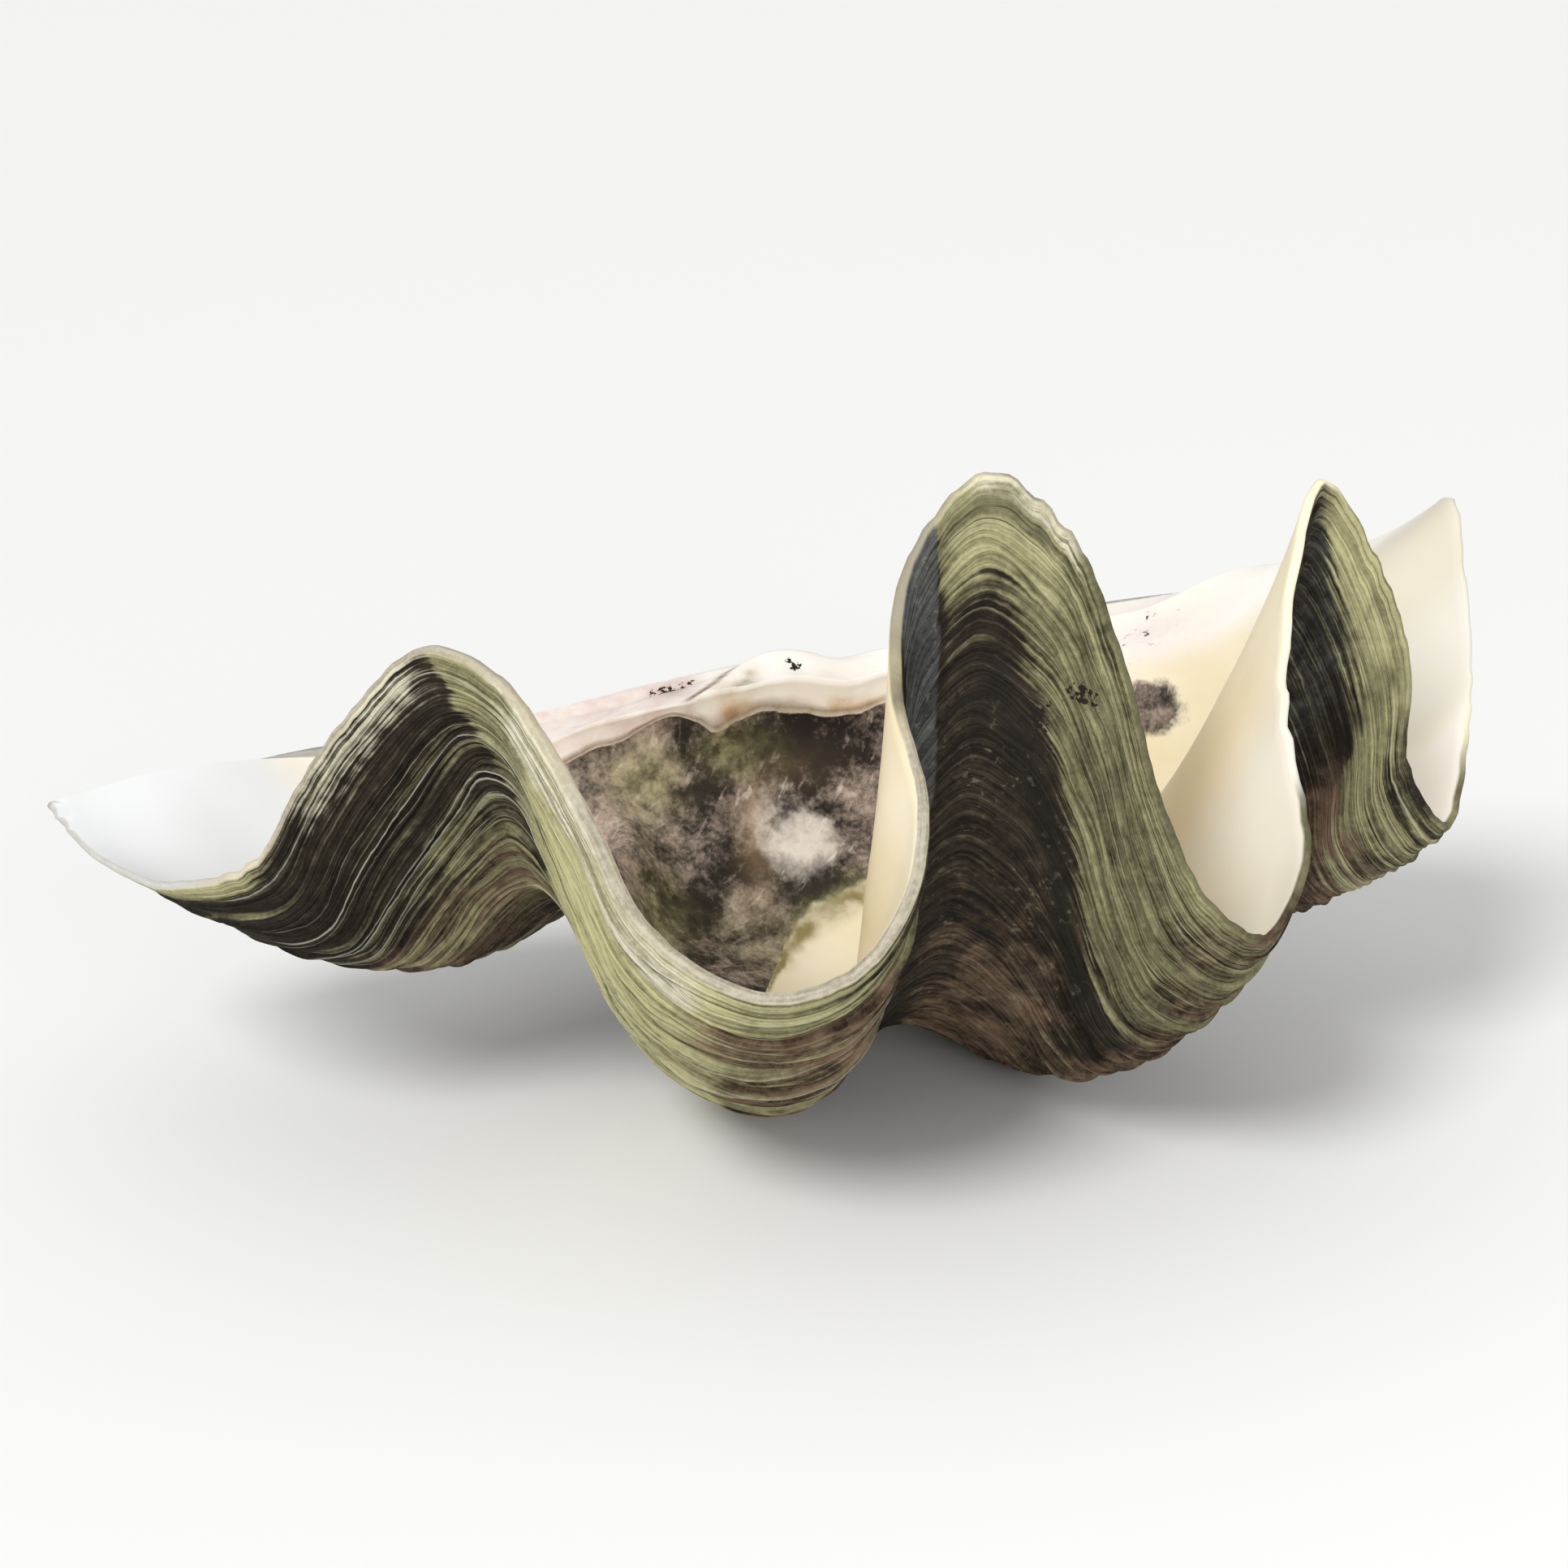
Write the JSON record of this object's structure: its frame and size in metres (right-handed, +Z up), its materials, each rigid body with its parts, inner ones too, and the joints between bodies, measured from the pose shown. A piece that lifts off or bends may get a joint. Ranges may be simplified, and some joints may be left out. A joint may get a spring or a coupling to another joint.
{
  "type": "giant clam shell",
  "caption": "Single giant clam valve lying on its outside, bowl up, with a deeply folded lip, ledged outer face, hinge plate and hinge tooth.",
  "frame": {"origin": "centre of the bounding box's bottom face, on the surface that the valve lies on", "axes": "+X along the valve's length, to its deep end with the narrow ribs; +Y towards the hinge; +Z up, out of the open bowl"},
  "size_m": [0.809, 0.4618, 0.4033],
  "materials": {
    "shell": "matte, weathered olive outside with a smooth cream lip"
  },
  "bodies": {
    "root": {"clam_valve": "shell"}
  },
  "joints": []
}
